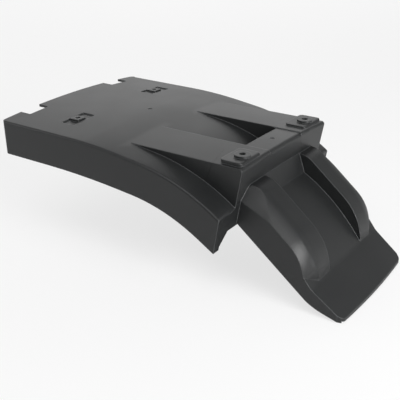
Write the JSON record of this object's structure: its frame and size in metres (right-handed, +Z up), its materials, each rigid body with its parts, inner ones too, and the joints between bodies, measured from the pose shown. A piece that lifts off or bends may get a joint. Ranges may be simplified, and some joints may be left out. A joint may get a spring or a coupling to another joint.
{
  "type": "inner rear fender",
  "caption": "Moulded inner rear fender for a motorbike: crowned panel with side walls, raised rails and crossbeam with screw collars, and a tail flap with arched humps.",
  "frame": {"origin": "midway between the two rear screw holes, on the top of their collars", "axes": "+X runs from the wide front panel to the tail flap, +Y across the part, +Z up through the screw holes"},
  "size_m": [0.392, 0.218, 0.1393],
  "materials": {
    "shell": "satin black moulded skin"
  },
  "bodies": {
    "root": {"shell": "shell"}
  },
  "joints": []
}
